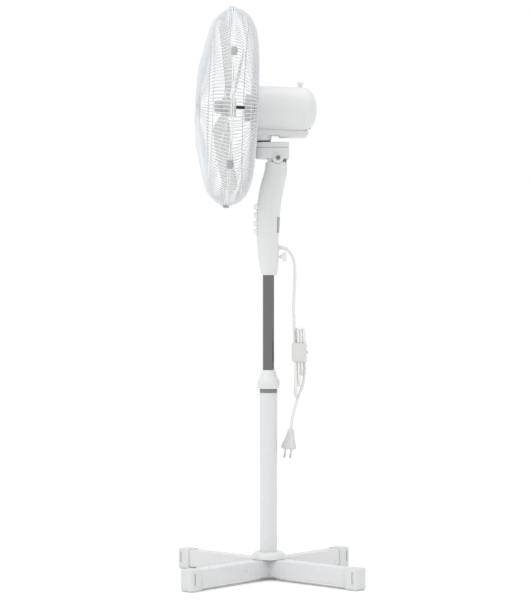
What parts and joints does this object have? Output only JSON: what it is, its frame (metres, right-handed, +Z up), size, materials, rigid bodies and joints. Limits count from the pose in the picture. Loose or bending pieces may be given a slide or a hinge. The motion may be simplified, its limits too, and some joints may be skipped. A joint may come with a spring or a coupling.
{
  "type": "pedestal fan",
  "caption": "Pedestal fan with a cross base, a telescopic pole, push-button column, and a tilting, oscillating caged head.",
  "frame": {"origin": "on the floor, on the axis of the pole, midway between the feet", "axes": "+Z up along the pole; -Y is the way the fan blows; +X is to the right of someone who faces +Y from in front of it"},
  "size_m": [0.4291, 0.3804, 1.2252],
  "materials": {
    "white_plastic": "satin white injection-moulded plastic",
    "white_coated_steel": "gloss white powder coat on steel",
    "guard_wire": "white powder-coated steel wire",
    "clear_blade": "translucent greenish white plastic",
    "dark_chrome": "polished dark chrome plate",
    "bright_steel": "plain bright steel",
    "dark_steel": "black oxide steel",
    "grey_plastic": "satin grey plastic",
    "cord_vinyl": "soft near-white vinyl",
    "copper": "lacquered copper winding",
    "brass": "plain brass"
  },
  "bodies": {
    "stand": {"base_bar_lower": "white_coated_steel", "base_bar_upper": "white_coated_steel", "foot_cap_1": "white_plastic", "foot_cap_2": "white_plastic", "foot_cap_3": "white_plastic", "foot_cap_4": "white_plastic", "pole_flange": "dark_steel", "base_screw_1": "bright_steel", "base_screw_2": "bright_steel", "hub_cover": "white_plastic", "pole": "white_coated_steel", "pole_top_sleeve": "grey_plastic"},
    "collar": {"height_collar": "white_plastic"},
    "column": {"inner_tube": "dark_chrome", "tube_guide": "grey_plastic", "column_front_cover": "white_plastic", "column_rear_cover": "white_plastic", "rating_plate": "grey_plastic", "speed_switch": "grey_plastic", "tube_socket": "grey_plastic", "cord_grommet": "grey_plastic", "cord_upper": "cord_vinyl", "cord_hank": "cord_vinyl", "cord_tie": "grey_plastic", "cord_lower": "cord_vinyl", "plug_body": "white_plastic", "plug_pin_left": "brass", "plug_pin_right": "brass"},
    "off_button": {"button_off": "white_plastic"},
    "low_button": {"button_low": "white_plastic"},
    "mid_button": {"button_mid": "white_plastic"},
    "high_button": {"button_high": "white_plastic"},
    "clamp": {"clamp_knob": "grey_plastic"},
    "tilt": {"tilt_bracket": "white_plastic", "bracket_cap": "white_plastic", "tilt_bolt": "dark_steel", "tilt_nut": "bright_steel", "swivel_post": "dark_steel"},
    "head": {"motor_cover": "white_plastic", "motor_front_plate": "dark_steel", "motor_under_cover": "white_plastic", "stator": "copper", "gearbox_case": "grey_plastic", "rear_guard": "guard_wire", "guard_nut": "grey_plastic", "front_guard": "guard_wire", "front_badge": "white_plastic"},
    "knob": {"oscillation_knob": "white_plastic"},
    "fan": {"motor_shaft": "dark_steel", "rotor_core": "bright_steel", "fan_blade": "clear_blade", "blade_nut": "grey_plastic"},
    "worm_gear": {"worm_wheel": "grey_plastic"},
    "crank": {"crank_gear": "grey_plastic"},
    "link": {"crank_link": "bright_steel"},
    "clip_1": {"guard_clip_1": "grey_plastic"},
    "clip_2": {"guard_clip_2": "grey_plastic"},
    "clip_3": {"guard_clip_3": "grey_plastic"},
    "clip_4": {"guard_clip_4": "grey_plastic"},
    "clip_5": {"guard_clip_5": "grey_plastic"}
  },
  "joints": [
    {"name": "collar_turn", "type": "hinge", "parent": "stand", "child": "collar", "pos_m": [0, 0, 0.4068], "axis": [0, 0, 1], "range_deg": [0, 90]},
    {"name": "height_slide", "type": "slide", "parent": "stand", "child": "column", "axis": [0, 0, 1], "range_m": [-0.19, 0]},
    {"name": "off_press", "type": "slide", "parent": "column", "child": "off_button", "axis": [0, 1, 0], "range_m": [0, 0.004], "stiffness_N_per_m": 350},
    {"name": "low_press", "type": "slide", "parent": "column", "child": "low_button", "axis": [0, 1, 0], "range_m": [0, 0.004], "stiffness_N_per_m": 350},
    {"name": "mid_press", "type": "slide", "parent": "column", "child": "mid_button", "axis": [0, 1, 0], "range_m": [0, 0.004], "stiffness_N_per_m": 350},
    {"name": "high_press", "type": "slide", "parent": "column", "child": "high_button", "axis": [0, 1, 0], "range_m": [0, 0.004], "stiffness_N_per_m": 350},
    {"name": "clamp_turn", "type": "hinge", "parent": "column", "child": "clamp", "pos_m": [0, 0.017, 0.689], "axis": [0, 1, 0], "range_deg": [-90, 90]},
    {"name": "head_tilt", "type": "hinge", "parent": "column", "child": "tilt", "pos_m": [0, 0.019, 0.9], "axis": [1, 0, 0], "range_deg": [-15, 8]},
    {"name": "head_swing", "type": "hinge", "parent": "tilt", "child": "head", "pos_m": [0, -0.01, 0.94], "axis": [0, 0, 1], "range_deg": [-40, 40]},
    {"name": "knob_slide", "type": "slide", "parent": "head", "child": "knob", "axis": [0, 0, 1], "range_m": [-0.005, 0]},
    {"name": "blade_spin", "type": "hinge", "parent": "head", "child": "fan", "pos_m": [0, -0.085, 1.009], "axis": [0, -0.9994, 0.0349], "continuous": true},
    {"name": "worm_turn", "type": "hinge", "parent": "head", "child": "worm_gear", "pos_m": [0.0145, 0.0605, 1.004], "axis": [0, 0, 1], "continuous": true},
    {"name": "crank_turn", "type": "hinge", "parent": "head", "child": "crank", "pos_m": [0, 0.0685, 0.988], "axis": [0, 0, 1], "continuous": true},
    {"name": "link_turn", "type": "hinge", "parent": "crank", "child": "link", "pos_m": [0, 0.0625, 0.9521], "axis": [0, 0, 1], "continuous": true},
    {"name": "clip_1_open", "type": "hinge", "parent": "head", "child": "clip_1", "pos_m": [0.18871, -0.08364, 1.10517], "axis": [0.454, -0.0311, -0.8905], "range_deg": [0, 60]},
    {"name": "clip_2_open", "type": "hinge", "parent": "head", "child": "clip_2", "pos_m": [-0.01108, -0.07962, 1.22045], "axis": [0.9986, 0.0018, 0.0523], "range_deg": [0, 60]},
    {"name": "clip_3_open", "type": "hinge", "parent": "head", "child": "clip_3", "pos_m": [-0.21151, -0.08661, 1.02015], "axis": [0.0523, 0.0349, 0.998], "range_deg": [0, 60]},
    {"name": "clip_4_open", "type": "hinge", "parent": "head", "child": "clip_4", "pos_m": [0.01108, -0.09438, 0.79769], "axis": [-0.9986, -0.0018, -0.0523], "range_deg": [0, 60]},
    {"name": "clip_5_open", "type": "hinge", "parent": "head", "child": "clip_5", "pos_m": [0.1646, -0.09165, 0.87586], "axis": [-0.6293, -0.0271, -0.7767], "range_deg": [0, 60]}
  ],
  "couplings": [
    {"joint": "worm_turn", "follows": "blade_spin", "ratio": 0.016667},
    {"joint": "crank_turn", "follows": "blade_spin", "ratio": -0.0054054},
    {"joint": "link_turn", "follows": "blade_spin", "ratio": 0.0054054}
  ]
}
